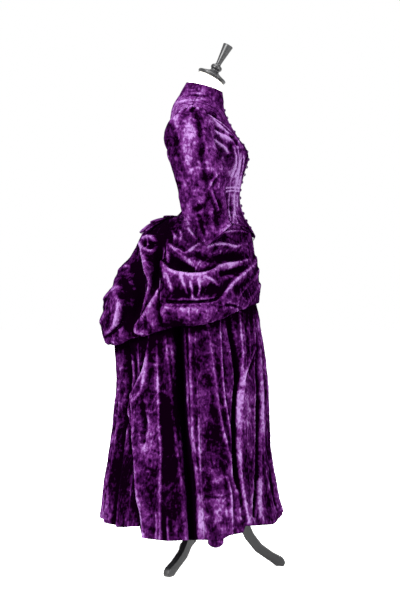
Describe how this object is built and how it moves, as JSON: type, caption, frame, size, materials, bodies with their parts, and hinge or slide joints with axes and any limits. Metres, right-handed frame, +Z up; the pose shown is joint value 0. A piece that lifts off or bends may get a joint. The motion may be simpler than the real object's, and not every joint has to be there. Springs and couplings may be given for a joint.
{
  "type": "bustle dress on a dress form",
  "caption": "Purple crushed-velvet 1880s bustle dress, buttoned bodice, draped overskirt and trained skirt, on a limbless dress form with turned black cap and tripod.",
  "frame": {"origin": "centre of the bounding box on the floor that the three feet stand on", "axes": "+Z up, +X the way the wearer faces, -Y the wearer's right side"},
  "size_m": [0.5897, 0.6444, 1.6682],
  "materials": {
    "velvet": "crushed pile",
    "button": "satin",
    "linen": "matt",
    "lacquer": "black lacquer",
    "iron": "satin"
  },
  "bodies": {
    "root": {"basque_tail": "velvet", "bodice_back_left": "velvet", "bodice_back_right": "velvet", "bodice_front_left": "velvet", "bodice_front_right": "velvet", "bodice_side_left": "velvet", "bodice_side_right": "velvet", "bustle_drape": "velvet", "collar": "velvet", "cuff_left": "velvet", "cuff_right": "velvet", "form_torso": "linen", "front_drape": "velvet", "hem_fold": "velvet", "hub": "lacquer", "leg_1": "lacquer", "leg_2": "lacquer", "leg_3": "lacquer", "neck_cap": "lacquer", "pole": "iron", "skirt_back": "velvet", "skirt_front": "velvet", "skirt_side_back_left": "velvet", "skirt_side_back_right": "velvet", "skirt_side_front_left": "velvet", "skirt_side_front_right": "velvet", "sleeve_top_left": "velvet", "sleeve_top_right": "velvet", "sleeve_under_left": "velvet", "sleeve_under_right": "velvet", "button_01": "button", "button_02": "button", "button_03": "button", "button_04": "button", "button_05": "button", "button_06": "button", "button_07": "button", "button_08": "button", "button_09": "button", "button_10": "button", "button_11": "button", "button_12": "button", "button_13": "button", "button_14": "button", "button_15": "button", "button_16": "button", "button_17": "button", "button_18": "button"}
  },
  "joints": []
}
